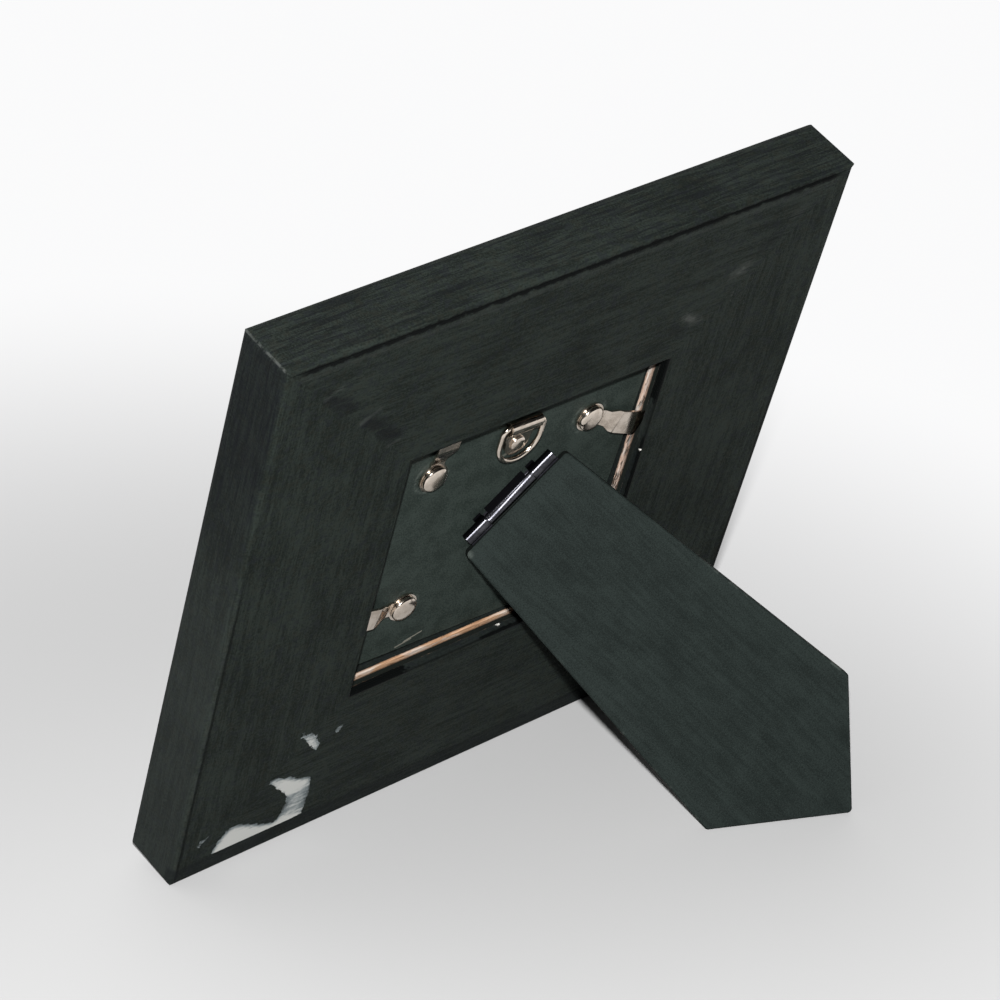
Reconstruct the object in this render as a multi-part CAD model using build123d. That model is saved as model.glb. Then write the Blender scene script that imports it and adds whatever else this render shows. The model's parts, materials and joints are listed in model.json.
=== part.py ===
from build123d import *

import os
from math import asin, atan2, cos, degrees, hypot, radians, sin, sqrt, tan

# An easel back photo frame, built lying face down on a bench: X runs to the right and Y to the top
# rail as seen from behind, Z = 0 is the back face and +Z points out of the back. One location then
# stands it up. Left and right in the names of pieces are as seen from the front. Lengths are in
# millimetres, angles in degrees.

# Rails
frame_side = 175.0
rail_thick = 18.0
opening_side = 81.0
ledge_width = 6.0
front_round = 3.5
back_round = 1.2
side_back_round = 2.0
corner_round = 2.0
opening_round = 0.5
quirk_inset = 2.2
quirk_width = 0.9
quirk_depth = 0.6
sight_bevel = 2.0
groove_depth = 2.3
groove_width = 2.4
groove_reach = 5.5

# Corner V-nails, two across each mitre, driven in from the back
nail_leg = 5.0
nail_sheet = 0.6
nail_height = 8.0
nail_sink = 0.05
nail_place_shares = (0.27, 0.66)

# What lies in the rabbet, from the back: board, insert and glass. The loose board sits slightly turned.
board_recess = 5.8
board_thick = 3.0
insert_thick = 0.5
glass_thick = 2.0
pane_play = 0.6
board_play = 0.1
board_turn = -2.1
board_corner_round = 0.8

# Turn clips, stamped from one sheet: a round eye, a narrow neck and a raised tab
clip_sheet = 0.6
clip_eye_diameter = 8.4
clip_neck_width = 4.4
clip_shoulder_width = 6.4
clip_tab_width = 7.2
clip_reach = 19.2
clip_neck_end = 6.6
clip_shoulder_end = 8.6
clip_rise = 1.8
clip_rise_start = 5.0
clip_rise_end = 10.0
clip_bend = 2.0
clip_corner_round = 0.8
clip_play = 0.1
clip_hole_play = 0.08

# Each clip's heading on the board, how far it is turned from there, and its rivet's place as shares
# of half the board
clip_headings = {"top": 90.0, "left": 0.0, "right": 180.0, "bottom": -90.0}
clip_turns = {"top": -1.4, "left": -22.0, "right": -9.9, "bottom": -5.0}
clip_place_shares = {
    "top": (-0.691, 0.598),
    "left": (0.590, 0.626),
    "right": (-0.609, -0.566),
    "bottom": (0.610, -0.590),
}

# Rivets through the clips
rivet_shank_diameter = 3.0
rivet_head_diameter = 7.4
rivet_head_height = 1.5
rivet_edge_height = 0.45
rivet_flat_share = 0.5
rivet_crown_steps = 3
rivet_set_diameter = 4.6
rivet_set_height = 0.6
rivet_set_sink = 0.2
rivet_hole_play = 0.1

# Ring hanger: a strap folded round the straight bar of a D-shaped wire ring
strap_sheet = 0.5
strap_width = 9.8
strap_tail_diameter = 7.4
strap_bend = 1.2
ring_wire_diameter = 1.4
ring_wire_sides = 10
ring_width = 14.5
ring_height = 13.4
ring_shoulder_round = 2.2
ring_play = 0.3
hanger_side_share = -0.036
hanger_rivet_up_share = 0.651
hanger_bar_rise = 7.0
hanger_rivet_shank_diameter = 2.2
hanger_rivet_head_diameter = 4.4
hanger_rivet_head_height = 0.9
hanger_rivet_edge_height = 0.3
hanger_rivet_set_diameter = 3.6

# Easel hinge: three rolled knuckles on a pin
hinge_length = 30.0
hinge_middle_share = 0.52
hinge_angle = 45.0
hinge_side = 1.2
hinge_up = 7.0
knuckle_diameter = 3.3
leaf_sheet = 0.6
pin_play = 0.05
knuckle_gap = 0.15
barrel_play = 0.3
leaf_bend = 1.0
leg_leaf_end = 11.0
leg_leaf_notch = 3.2
leg_leaf_corner_round = 1.5
leg_seam_angle = 40.0
board_leaf_width = 13.0
board_leaf_clinch = 7.0
board_leaf_bend = 0.9
board_seam_angle = -110.0
clinch_sink = 0.15
leaf_play = 0.1
stop_tongue_width = 2.4
stop_tongue_length = 2.4

# Easel leg: wider at the shoulders than at the hinge, with a square toe
leg_open = 42.3
leg_thick = 3.0
leg_top_width = 35.5
leg_shoulder_width = 53.6
leg_shoulder_reach = 100.0
leg_reach = 125.5
leg_toe_side = 2.0
leg_top_gap = 0.35
leg_corner_round = 1.2
leg_edge_bevel = 0.35
kerf_play = 0.05

overrun = 5.0
MM_PER_M = 1000.0

# Sizes that follow from the driving ones
half_side = frame_side / 2
half_opening = opening_side / 2
rail_width = half_side - half_opening
ledge_depth = board_recess + board_thick + insert_thick + glass_thick
pane_side = opening_side - 2 * pane_play
turn_spread = cos(radians(board_turn)) + abs(sin(radians(board_turn)))
board_side = (opening_side - 2 * board_play) / turn_spread
half_board = board_side / 2
knuckle_radius = knuckle_diameter / 2
roll_radius = knuckle_radius - leaf_sheet / 2
pin_radius = knuckle_radius - leaf_sheet - pin_play
axis_rise = knuckle_radius + barrel_play
leg_top = knuckle_radius + leg_top_gap
middle_length = hinge_length * hinge_middle_share
end_length = (hinge_length - middle_length) / 2 - knuckle_gap


def upright(profile, reach):
    """Extrude a profile drawn along the leg and out of the board, to both sides along the hinge."""
    across = Plane(origin=(0, 0, 0), x_dir=(0, 1, 0), z_dir=(1, 0, 0))
    return extrude(across * profile, amount=reach, both=True)


def box_between(low, high):
    """A box given by two opposite corners."""
    size = [b - a for a, b in zip(low, high)]
    middle = [(a + b) / 2 for a, b in zip(low, high)]
    return Pos(*middle) * Box(*size)


def strip(path, sheet):
    """The section of a bent sheet that follows a smooth path."""
    faces = trace(path, line_width=sheet).faces()
    section = Sketch() + faces[0]
    for face in faces[1:]:
        section += face
    return section


def on_circle(radius, angle):
    """A point on a circle about the origin."""
    return (radius * cos(radians(angle)), radius * sin(radians(angle)))


# Where things lie: the board in the frame, and the hinge on the board with the leg running down and
# to the right
board_place = Pos(0, 0, -board_recess) * Rot(0, 0, board_turn)
hinge_on_board = Pos(hinge_side, hinge_up, axis_rise) * Rot(0, 0, hinge_angle - 180.0)
hinge_place = board_place * hinge_on_board
leg_place = hinge_place * Rot(leg_open, 0, 0)


# Rails
def nail_plan():
    """The V of a corner nail at its place nearest the corner of the bottom rail, opening inwards."""
    half = nail_sheet / 2
    along_bottom = box_between((-half, -half, -nail_height), (nail_leg, half, 0))
    along_side = box_between((-half, -half, -nail_height), (half, nail_leg, 0))
    return along_bottom + along_side


def nail_places():
    """The two nails of the corner where the bottom rail meets the rail on its left, seen from behind."""
    places = []
    for share in nail_place_shares:
        corner = -half_side + rail_width * share
        places.append(Pos(corner, corner, -nail_sink))
    return places


def corner_nails():
    """All eight nails, and the slots that they sit in up to the back face."""
    nails = []
    slots = []
    for quarter in range(4):
        for place in nail_places():
            spot = Rot(0, 0, 90.0 * quarter) * place
            nails.append(spot * nail_plan())
            slots.append(spot * (nail_plan() + Pos(0, 0, nail_sink) * nail_plan()))
    return nails, slots


def rail_section(arris):
    """Section across a rail: outer side at 0, inwards to the right, back face at the top."""
    groove_end = groove_depth + groove_width
    lip = rail_width + ledge_width
    section = make_face(
        Polyline(
            (0, 0),
            (rail_width, 0),
            (rail_width, -groove_depth),
            (rail_width - groove_reach, -groove_depth),
            (rail_width - groove_reach, -groove_end),
            (rail_width, -groove_end),
            (rail_width, -ledge_depth),
            (lip, -ledge_depth),
            (lip, sight_bevel - rail_thick),
            (lip - sight_bevel, -rail_thick),
            (0, -rail_thick),
            close=True,
        )
    )
    section = fillet(section.vertices().group_by(Axis.Y)[-1].sort_by(Axis.X)[-1], opening_round)
    section = fillet(section.vertices().group_by(Axis.X)[0].sort_by(Axis.Y)[-1], arris)
    return fillet(section.vertices().group_by(Axis.X)[0].sort_by(Axis.Y)[0], front_round)


def quirk_section():
    """The V of the quirk that runs along the top rail beside its back arris."""
    half = quirk_width / 2
    return make_face(
        Polyline(
            (quirk_inset - half, 0),
            (quirk_inset, -quirk_depth),
            (quirk_inset + half, 0),
            close=True,
        )
    )


def mitred_rail(section):
    """A rail of the given section in the place of the bottom rail, cut to its mitres and round corners."""
    across = Plane(origin=(0, -half_side, 0), x_dir=(0, 1, 0), z_dir=(1, 0, 0))
    bar = extrude(across * section, amount=half_side, both=True)
    reach = half_side + overrun
    wedge = make_face(Polyline((0, 0), (-reach, -reach), (reach, -reach), close=True))
    corners = RectangleRounded(frame_side, frame_side, corner_round)
    trim = extrude(Pos(0, 0, overrun) * (wedge & corners), amount=-(rail_thick + 2 * overrun))
    return bar & trim


def rails_and_nails():
    """Four rails turned round the opening, each with the slots of its nails."""
    nails, slots = corner_nails()
    sections = {
        "bottom": rail_section(back_round),
        "left": rail_section(side_back_round),
        "top": rail_section(back_round) - quirk_section(),
        "right": rail_section(side_back_round),
    }
    pieces = {}
    for quarter, (side, section) in enumerate(sections.items()):
        rail = Rot(0, 0, 90.0 * quarter) * mitred_rail(section)
        for slot in slots:
            rail -= slot
        pieces["rail_" + side] = rail
    pieces["corner_v_nails"] = Compound([nail.solid() for nail in nails])
    return pieces


# Glass and insert
def pane(thick, depth):
    """A square pane whose back face lies at the given depth."""
    return Pos(0, 0, -depth - thick / 2) * Box(pane_side, pane_side, thick)


# Turn clips and their rivets
def clip_spot(side):
    """A clip's place on the board: origin at its rivet, X along its tab."""
    x_share, y_share = clip_place_shares[side]
    turn = clip_headings[side] + clip_turns[side]
    return Pos(half_board * x_share, half_board * y_share, 0) * Rot(0, 0, turn)


def turn_clip():
    """One clip lying along X, its eye on the board and its tab raised to the groove."""
    low = clip_play + clip_sheet / 2
    high = low + clip_rise
    eye_radius = clip_eye_diameter / 2
    path = FilletPolyline(
        (-eye_radius, low),
        (clip_rise_start, low),
        (clip_rise_end, high),
        (clip_reach, high),
        radius=clip_bend,
    )
    side_view = strip(path, clip_sheet)
    bent = extrude(Plane.XZ * side_view, amount=clip_eye_diameter, both=True)
    half_neck = clip_neck_width / 2
    half_shoulder = clip_shoulder_width / 2
    half_tab = clip_tab_width / 2
    blade = make_face(
        Polyline(
            (0, -half_neck),
            (clip_neck_end, -half_neck),
            (clip_shoulder_end, -half_shoulder),
            (clip_reach, -half_tab),
            (clip_reach, half_tab),
            (clip_shoulder_end, half_shoulder),
            (clip_neck_end, half_neck),
            (0, half_neck),
            close=True,
        )
    )
    blade = fillet(blade.vertices().group_by(Axis.X)[1:], clip_corner_round)
    plan = Circle(eye_radius) + blade
    plan -= Circle(rivet_shank_diameter / 2 + clip_hole_play)
    return bent & extrude(plan, amount=clip_rise + 2 * overrun, both=True)


def round_rivet(grip, shank, head, head_height, edge_height, set_diameter):
    """A rivet on the Z axis: crowned head above the grip, shank through the board, end set in front."""
    top = grip + head_height
    flat = head / 2 * rivet_flat_share
    set_top = rivet_set_sink + rivet_set_height - board_thick
    set_end = rivet_set_sink - board_thick
    outline = Polyline(
        (0, top),
        (0, set_end),
        (set_diameter / 2, set_end),
        (set_diameter / 2, set_top),
        (shank / 2, set_top),
        (shank / 2, grip),
        (head / 2, grip),
        (head / 2, grip + edge_height),
    )
    dome = TangentArc((flat, top), (head / 2, grip + edge_height), tangent=(1, 0))
    crown = Polyline(*[dome @ (step / rivet_crown_steps) for step in range(rivet_crown_steps + 1)])
    profile = make_face(outline + crown + Line((0, top), (flat, top)))
    return revolve(Plane.XZ * profile, axis=Axis.Z)


def clip_rivet():
    """The rivet that a clip turns on."""
    grip = clip_sheet + 2 * clip_play
    return round_rivet(
        grip,
        rivet_shank_diameter,
        rivet_head_diameter,
        rivet_head_height,
        rivet_edge_height,
        rivet_set_diameter,
    )


# Ring hanger, with the ring's bar along X at the top and its rivet on the Z axis
hanger_spot = Pos(half_board * hanger_side_share, half_board * hanger_rivet_up_share, 0)
ring_wire = ring_wire_diameter / 2
loop_radius = ring_wire + ring_play + strap_sheet / 2
bar_rise = loop_radius + strap_sheet / 2


def hanger_strap():
    """A strap folded double round the ring's bar, with a round tail under the rivet."""
    tail_radius = strap_tail_diameter / 2
    low = strap_sheet / 2
    high = low + strap_sheet
    loop_top = bar_rise + loop_radius
    fold = hanger_bar_rise - 2 * loop_radius
    lower = Line((-tail_radius, low), (hanger_bar_rise, low))
    loop = ThreePointArc(
        (hanger_bar_rise, low),
        (hanger_bar_rise + loop_radius, bar_rise),
        (hanger_bar_rise, loop_top),
    )
    upper = FilletPolyline(
        (hanger_bar_rise, loop_top),
        (hanger_bar_rise - loop_radius, loop_top),
        (fold - loop_radius, high),
        (-tail_radius, high),
        radius=strap_bend,
    )
    folded = strip(lower, strap_sheet) + strip(loop, strap_sheet) + strip(upper, strap_sheet)
    across = Plane(origin=(0, 0, 0), x_dir=(0, 1, 0), z_dir=(1, 0, 0))
    bent = extrude(across * folded, amount=strap_width, both=True)
    half_strap = strap_width / 2
    loop_end = hanger_bar_rise + loop_radius + overrun
    sides = make_face(
        Polyline(
            (-tail_radius, 0),
            (-half_strap, fold),
            (-half_strap, loop_end),
            (half_strap, loop_end),
            (half_strap, fold),
            (tail_radius, 0),
            close=True,
        )
    )
    plan = sides + Circle(tail_radius)
    plan -= Circle(hanger_rivet_shank_diameter / 2 + rivet_hole_play)
    return bent & extrude(plan, amount=loop_top + overrun, both=True)


def hanger_rivet():
    """The small rivet through both layers of the strap."""
    return round_rivet(
        2 * strap_sheet,
        hanger_rivet_shank_diameter,
        hanger_rivet_head_diameter,
        hanger_rivet_head_height,
        hanger_rivet_edge_height,
        hanger_rivet_set_diameter,
    )


def wire_end(start, heading):
    """The section of the ring's wire at a point, square to its run, with few sides to keep the facets few."""
    section = RegularPolygon(ring_wire, ring_wire_sides)
    return Plane(origin=(*start, 0), x_dir=(0, 0, 1), z_dir=(*heading, 0)) * section


def wire_run(start, end):
    """A straight run of the ring's wire."""
    along = Vector(*end) - Vector(*start)
    return extrude(wire_end(start, (along.X, along.Y)), amount=along.length)


def wire_turn(start, heading, centre, arc):
    """A run of the ring's wire that turns clockwise about a centre."""
    return revolve(wire_end(start, heading), axis=Axis((*centre, 0), (0, 0, -1)), revolution_arc=arc)


def hanger_ring():
    """A D-shaped wire ring hanging from its straight bar."""
    half_width = ring_width / 2 - ring_wire
    straight = half_width - ring_shoulder_round
    side_end = half_width - (ring_height - 2 * ring_wire)
    right = wire_turn((straight, 0), (1, 0), (straight, -ring_shoulder_round), 90.0)
    right += wire_run((half_width, -ring_shoulder_round), (half_width, side_end))
    whole = wire_run((-straight, 0), (straight, 0)) + right + mirror(right, about=Plane.YZ)
    whole += wire_turn((half_width, side_end), (0, -1), (0, side_end), 180.0)
    return Pos(0, hanger_bar_rise, bar_rise) * whole


# Easel hinge, in the frame of the hinge: X along the pin, Y down the leg, Z out of the board
def leg_leaf_path():
    """A leaf in the middle of the leg that bends in towards the board and rolls round the pin."""
    bend_start = sqrt(roll_radius**2 + 2 * roll_radius * leaf_bend)
    meet_angle = -degrees(atan2(leaf_bend, bend_start))
    bend_middle = (270.0 + meet_angle) / 2
    bend_x, bend_y = on_circle(leaf_bend, bend_middle)
    roll_end = leg_seam_angle - 360.0
    straight = Line((leg_leaf_end, 0), (bend_start, 0))
    bend = ThreePointArc(
        (bend_start, 0),
        (bend_start + bend_x, bend_y - leaf_bend),
        on_circle(roll_radius, meet_angle),
    )
    roll = ThreePointArc(
        on_circle(roll_radius, meet_angle),
        on_circle(roll_radius, (meet_angle + roll_end) / 2),
        on_circle(roll_radius, roll_end),
    )
    return straight, bend, roll


def stop_tongue():
    """The straight tongue that lies on the board when the leg is fully open."""
    touch = on_circle(roll_radius, 270.0 - leg_open)
    blade = Rectangle(stop_tongue_length + leaf_sheet, leaf_sheet, align=(Align.MIN, Align.CENTER))
    return Pos(*touch) * Rot(0, 0, 180.0 - leg_open) * Pos(-leaf_sheet, 0) * blade


def hinge_leg_leaf():
    """The leaf in the leg, with the two end knuckles and their stop tongues."""
    section = Sketch()
    for run in leg_leaf_path():
        section += strip(run, leaf_sheet)
    half_length = hinge_length / 2
    leaf = upright(section, half_length)
    half_middle = middle_length / 2 + knuckle_gap
    leaf -= box_between(
        (-half_middle, -knuckle_diameter, -knuckle_diameter),
        (half_middle, leg_leaf_notch, knuckle_diameter),
    )
    tongue = upright(stop_tongue(), stop_tongue_width / 2)
    tongue_at = half_middle + stop_tongue_width / 2
    leaf += Pos(tongue_at, 0, 0) * tongue
    leaf += Pos(-tongue_at, 0, 0) * tongue
    leaf -= upright(Circle(pin_radius + pin_play), half_length)
    far_corners = leaf.edges().filter_by(Axis.Z).group_by(Axis.Y)[-1]
    return fillet(far_corners, leg_leaf_corner_round)


def board_leaf_path():
    """A leaf clinched in front of the board that comes up through it and rolls round the pin."""
    clinch = clinch_sink + leaf_sheet / 2 - board_thick - axis_rise
    rise = FilletPolyline(
        (-roll_radius - board_leaf_clinch, clinch),
        (-roll_radius, clinch),
        (-roll_radius, 0),
        radius=board_leaf_bend,
    )
    roll = ThreePointArc(
        on_circle(roll_radius, 180.0),
        on_circle(roll_radius, (180.0 + board_seam_angle) / 2),
        on_circle(roll_radius, board_seam_angle),
    )
    return rise, roll


def hinge_board_leaf():
    """The leaf of the board, with the middle knuckle and a narrower clinched tang."""
    rise, roll = board_leaf_path()
    knuckle = upright(strip(roll, leaf_sheet), middle_length / 2)
    tang = upright(strip(rise, leaf_sheet), board_leaf_width / 2)
    return knuckle + tang


def hinge_pin():
    """The pin through the three knuckles."""
    return Rot(0, 90, 0) * Cylinder(pin_radius, hinge_length)


def board_leaf_channel():
    """The room in the board for the tang: a slot along its path, open to the front where it is clinched."""
    rise = board_leaf_path()[0]
    half_width = board_leaf_width / 2 + leaf_play
    slot = upright(strip(rise, leaf_sheet + 2 * leaf_play), half_width)
    front = -axis_rise - board_thick
    pocket = box_between(
        (-half_width, -roll_radius - board_leaf_clinch - leaf_play, front - overrun),
        (half_width, -roll_radius + leaf_sheet / 2 + leaf_play, front + clinch_sink + leaf_sheet / 2),
    )
    return slot + pocket


# Backboard
def rivet_room(shank, set_diameter):
    """Hole and counterbore for a rivet on the Z axis."""
    play = 2 * rivet_hole_play
    set_room = rivet_set_sink + rivet_set_height + rivet_hole_play
    hole = Cylinder((shank + play) / 2, board_thick + overrun)
    below = (Align.CENTER, Align.CENTER, Align.MAX)
    bore = Cylinder((set_diameter + play) / 2, set_room + overrun, align=below)
    return hole + Pos(0, 0, set_room - board_thick) * bore


def backboard():
    """The board with the holes of its rivets and the slot of the hinge, back face at Z = 0."""
    plate = extrude(RectangleRounded(board_side, board_side, board_corner_round), amount=-board_thick)
    for side in clip_headings:
        plate -= clip_spot(side) * rivet_room(rivet_shank_diameter, rivet_set_diameter)
    plate -= hanger_spot * rivet_room(hanger_rivet_shank_diameter, hanger_rivet_set_diameter)
    return plate - hinge_on_board * board_leaf_channel()


# Easel leg, in the frame of the hinge before it is opened
def table_lean():
    """How far the frame leans back when it stands on its bottom arris and on the toe of the open leg."""
    toe = (leg_place * Pos(-leg_toe_side, leg_reach, -leg_thick / 2)).position
    out = toe.Z + back_round
    rise = toe.Y + half_side - back_round
    return atan2(rise, out) + asin(back_round / hypot(out, rise))


lean = table_lean()


def toe_angle():
    """The slope of the foot's edge across the leg that lays it flat on the table."""
    heading = radians(hinge_angle + board_turn)
    opened = radians(leg_open)
    return atan2(sin(heading), cos(opened) * cos(heading) + sin(opened) * tan(lean))


def easel_leg():
    """A board that widens from the hinge to its shoulders and ends in a square toe."""
    spread = (leg_shoulder_width - leg_top_width) / 2 / (leg_shoulder_reach - leg_top)
    long_end = leg_reach + overrun
    half_top = leg_top_width / 2
    half_end = half_top + spread * (long_end - leg_top)
    outline = make_face(
        Polyline(
            (-half_top, leg_top),
            (half_top, leg_top),
            (half_end, long_end),
            (-half_end, long_end),
            close=True,
        )
    )
    square = Rectangle(leg_reach * 2, leg_reach * 2, align=(Align.MIN, Align.MAX))
    toe = Pos(-leg_toe_side, leg_reach) * Rot(0, 0, -degrees(toe_angle())) * square
    outline = outline & toe
    outline = fillet(outline.vertices(), leg_corner_round)
    plate = extrude(outline, amount=leg_thick / 2, both=True)
    plate = chamfer(plate.faces().sort_by(Axis.Z)[-1].edges(), leg_edge_bevel)
    half_kerf = leaf_sheet / 2 + kerf_play
    half_slot = hinge_length / 2 + kerf_play
    kerf = box_between(
        (-half_slot, leg_top - overrun, -half_kerf),
        (half_slot, leg_leaf_end + kerf_play, half_kerf),
    )
    return plate - kerf


# All pieces on the bench
pieces = rails_and_nails()
pieces["glass_pane"] = pane(glass_thick, board_recess + board_thick + insert_thick)
pieces["photo_insert"] = pane(insert_thick, board_recess + board_thick)
pieces["backboard"] = board_place * backboard()
for clip_side in clip_headings:
    clip_place = board_place * clip_spot(clip_side)
    pieces["turn_clip_" + clip_side] = clip_place * turn_clip()
    pieces["clip_rivet_" + clip_side] = clip_place * clip_rivet()
pieces["hanger_strap"] = board_place * hanger_spot * hanger_strap()
pieces["hanger_rivet"] = board_place * hanger_spot * hanger_rivet()
pieces["hanger_ring"] = board_place * hanger_spot * hanger_ring()
pieces["hinge_board_leaf"] = hinge_place * hinge_board_leaf()
pieces["hinge_pin"] = hinge_place * hinge_pin()
pieces["hinge_leg_leaf"] = leg_place * hinge_leg_leaf()
pieces["easel_leg"] = leg_place * easel_leg()

# Standing up: the back leans towards +Y and the origin is the middle of the floor of the standing frame
stand = Plane(origin=(0, 0, 0), x_dir=(-1, 0, 0), z_dir=(0, cos(lean), -sin(lean))).location
standing = {name: stand * piece for name, piece in pieces.items()}
boxes = [piece.bounding_box() for piece in standing.values()]
front_end = min(box.min.Y for box in boxes)
back_end = max(box.max.Y for box in boxes)
floor = min(box.min.Z for box in boxes)
settle = Pos(0, -(front_end + back_end) / 2, -floor)
home = settle * stand

os.makedirs("parts", exist_ok=True)
for name, piece in standing.items():
    export_step(settle * piece, "parts/" + name + ".step")


def tell(label, place):
    """Print a joint's place and direction in the standing frame, in metres."""
    spot = place.position
    axis = (place * Pos(1, 0, 0)).position - spot
    up = (place * Pos(0, 0, 1)).position - spot
    metres = [round(v / MM_PER_M, 6) for v in spot]
    print(label, "at", metres, "x", [round(v, 5) for v in axis], "z", [round(v, 5) for v in up])


print("lean", round(degrees(lean), 3), "toe", round(degrees(toe_angle()), 3))
tell("hinge", home * leg_place)
for clip_side in clip_headings:
    tell("clip " + clip_side, home * board_place * clip_spot(clip_side))
tell("ring", home * board_place * hanger_spot * Pos(0, hanger_bar_rise, bar_rise))
tell("bottom face", home * Pos(0, -half_side, -rail_thick / 2))
tell("back face", home)
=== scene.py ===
# %% [markdown]
# # An easel back photo frame, seen from behind
# This lesson dresses a small wooden photo frame. Its solids come from a CAD model that already has the
# right sizes, so nothing here changes a dimension. Blender adds what the CAD model lacks: stain brushed
# over grain, chipped paint, rubbed nickel, raw wood in a groove and a torn label. Every step works in
# the same frame as the CAD model, in metres.

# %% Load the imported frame
import json
import math

import bmesh
import bpy
from mathutils import Matrix, Vector, noise


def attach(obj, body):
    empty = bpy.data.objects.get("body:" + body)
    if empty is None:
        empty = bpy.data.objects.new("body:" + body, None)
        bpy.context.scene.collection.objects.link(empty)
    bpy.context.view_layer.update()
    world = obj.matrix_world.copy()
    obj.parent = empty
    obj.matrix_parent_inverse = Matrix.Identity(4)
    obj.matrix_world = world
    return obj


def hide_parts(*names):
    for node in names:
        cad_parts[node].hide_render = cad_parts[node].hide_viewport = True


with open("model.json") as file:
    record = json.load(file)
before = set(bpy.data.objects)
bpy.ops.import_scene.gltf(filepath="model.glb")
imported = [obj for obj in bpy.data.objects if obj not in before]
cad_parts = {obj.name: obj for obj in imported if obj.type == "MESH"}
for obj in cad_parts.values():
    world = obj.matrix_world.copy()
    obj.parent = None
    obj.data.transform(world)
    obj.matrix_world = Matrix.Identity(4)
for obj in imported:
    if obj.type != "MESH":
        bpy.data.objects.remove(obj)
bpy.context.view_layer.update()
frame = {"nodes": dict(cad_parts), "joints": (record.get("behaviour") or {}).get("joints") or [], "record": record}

nodes = frame["nodes"]
print("pieces from the CAD model:", len(nodes))

# %% [markdown]
# ## A bench to measure on
# A frame maker works with the frame lying face down on a bench. Marks on the wood are easiest to place
# the same way: X to the right, Y to the top rail, Z out of the back, in millimetres. The standing frame
# leans back, so a matrix is needed that carries bench places to the standing frame. The record of the
# model gives a point in the middle of the top rail and the direction that the back faces, and that is
# enough to work the matrix out, so no measured angle is copied by hand.

# %% The bench, the board and the leg as places
MM = 0.001
TOP_RAIL_UP = 64.0 * MM
mounts = {mount["name"]: mount for mount in frame["record"]["mounts"]}
joints = {joint["name"]: joint for joint in frame["joints"]}
back_faces = Vector(mounts["top_rail_back"]["axis"]).normalized()
bench_right = Vector((-1, 0, 0))
bench_up = back_faces.cross(bench_right)
bench_middle = Vector(mounts["top_rail_back"]["pos_m"]) - TOP_RAIL_UP * bench_up


def place(right, up, out, middle):
    """A matrix that carries a piece drawn about the origin to its place."""
    turned = Matrix((right, up, out)).transposed().to_4x4()
    return Matrix.Translation(middle) @ turned


bench = place(bench_right, bench_up, back_faces, bench_middle)
BOARD_DEEP = 5.8 * MM
BOARD_TURN = math.radians(-2.1)
board = bench @ Matrix.Translation((0, 0, -BOARD_DEEP)) @ Matrix.Rotation(BOARD_TURN, 4, "Z")

LEG_OPEN = math.radians(42.3)
hinge_along = Vector(joints["leg_hinge"]["axis"]).normalized()
hinge_down = back_faces.cross(hinge_along)
leg_down = hinge_down * math.cos(LEG_OPEN) + back_faces * math.sin(LEG_OPEN)
leg_out = hinge_along.cross(leg_down)
leg = place(hinge_along, leg_down, leg_out, Vector(joints["leg_hinge"]["pos_m"]))
print("the frame leans back by", round(math.degrees(math.atan2(bench_up.y, bench_up.z)), 2), "degrees")

# %% [markdown]
# ## Camera
# The photograph was taken from behind and above, at a little over a metre. Its place was worked out from
# the corners of the frame, which is a flat square of known size. A long lens keeps the perspective as
# gentle as it is in the photograph. The place is given on the bench and carried to the standing frame.

# %% Camera at the photograph's place
CAMERA_ON_BENCH = Vector((-555.03, 669.53, 465.41)) * MM
LOOKING_ON_BENCH = Vector((0.5632, -0.6742, -0.4777))
LENS = 144.2
SENSOR = 36.0

camera_data = bpy.data.cameras.new("photograph")
camera_data.lens = LENS
camera_data.sensor_width = SENSOR
camera = bpy.data.objects.new("photograph", camera_data)
bpy.context.scene.collection.objects.link(camera)
camera.location = bench @ CAMERA_ON_BENCH
looking = (bench.to_3x3() @ LOOKING_ON_BENCH).normalized()
camera.rotation_euler = looking.to_track_quat("-Z", "Y").to_euler()
bpy.context.scene.camera = camera
print("camera at", [round(v, 3) for v in camera.location])
print("camera looks along", [round(v, 3) for v in looking])

# %% [markdown]
# ## Finishes as sums of simple patterns
# A procedural finish is a graph of small nodes. Written out one by one it is hard to read, so a helper
# class stands for "a number worked out at each point of the surface". Such numbers can be added,
# multiplied and eased from 0 to 1, and each sum makes the nodes it needs.


# %% Numbers on a surface
def plug(tree, value, socket):
    """Feed a socket with a number on the surface, another socket or a plain value."""
    if isinstance(value, Reading):
        tree.links.new(value.socket, socket)
    elif isinstance(value, bpy.types.NodeSocket):
        tree.links.new(value, socket)
    else:
        socket.default_value = value


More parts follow.
